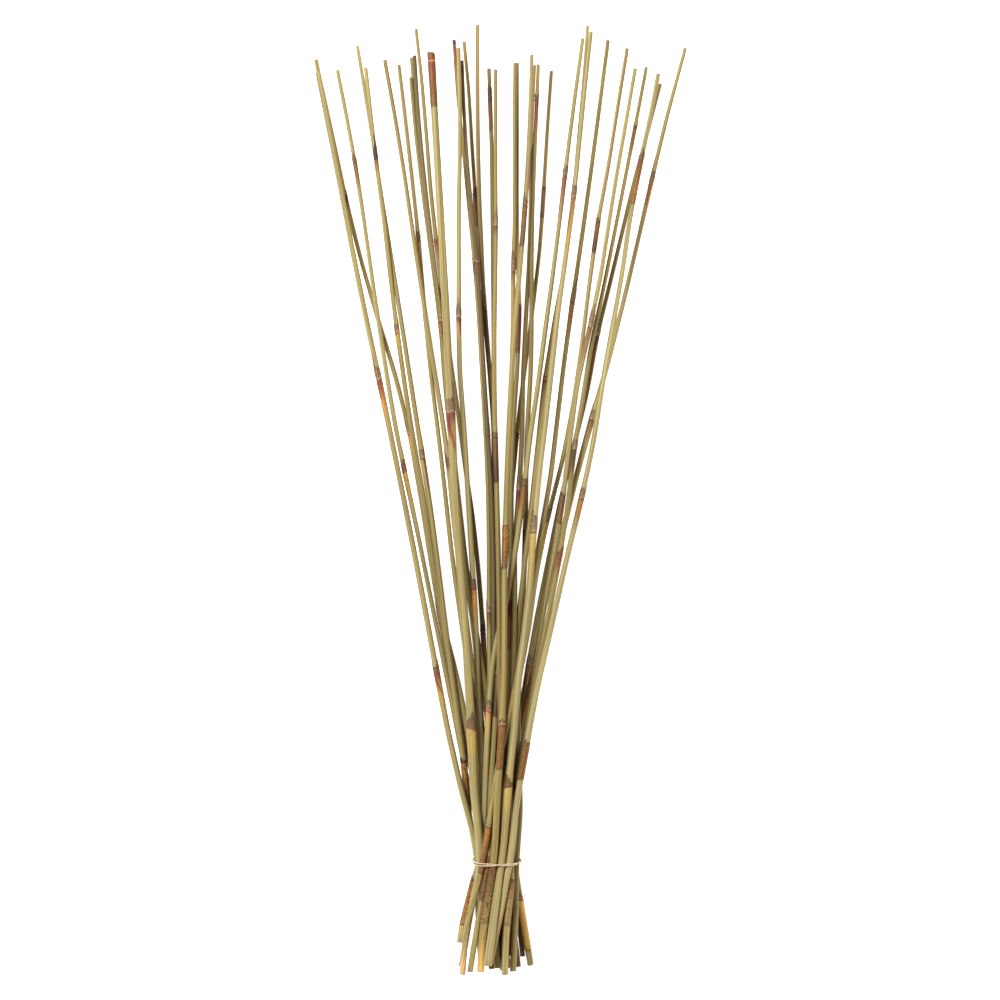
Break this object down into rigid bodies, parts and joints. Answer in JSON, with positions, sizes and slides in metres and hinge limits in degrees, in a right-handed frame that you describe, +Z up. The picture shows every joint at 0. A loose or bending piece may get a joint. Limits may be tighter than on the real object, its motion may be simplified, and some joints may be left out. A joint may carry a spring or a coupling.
{
  "type": "bunch of reeds",
  "caption": "Bunch of slender dried reed stems, cut at both ends, fanned out above a thin tie near the butts and lying on its side.",
  "frame": {"origin": "on the surface that the bunch lies on, under the middle of its box", "axes": "+Y along the bunch, from the butts to the tips; +Z up, away from the surface; +X across the bunch"},
  "size_m": [0.3736, 0.9472, 0.0656],
  "materials": {
    "reed_straw": "dried straw-yellow stem, satin skin with fine lengthwise ribs",
    "reed_olive": "dried olive-brown stem, satin skin with fine lengthwise ribs",
    "reed_umber": "dried dark brown stem, satin skin with fine lengthwise ribs",
    "tie_twine": "pale plant-fibre strand, matte"
  },
  "bodies": {
    "root": {"reed_01": "reed_straw", "reed_02": "reed_olive", "reed_03": "reed_straw", "reed_04": "reed_straw", "reed_05": "reed_olive", "reed_06": "reed_olive", "reed_07": "reed_straw", "reed_08": "reed_umber", "reed_09": "reed_olive", "reed_10": "reed_olive", "reed_11": "reed_umber", "reed_12": "reed_straw", "reed_13": "reed_olive", "reed_14": "reed_straw", "reed_15": "reed_umber", "reed_16": "reed_umber", "reed_17": "reed_umber", "reed_18": "reed_umber", "reed_19": "reed_olive", "reed_20": "reed_olive", "reed_21": "reed_olive", "reed_22": "reed_straw", "reed_23": "reed_olive", "reed_24": "reed_olive", "reed_25": "reed_olive", "reed_26": "reed_straw", "reed_27": "reed_olive", "reed_28": "reed_straw", "reed_29": "reed_olive", "reed_30": "reed_olive", "reed_31": "reed_straw", "reed_32": "reed_olive", "reed_33": "reed_umber", "reed_34": "reed_straw", "reed_35": "reed_straw", "tie": "tie_twine"}
  },
  "joints": []
}
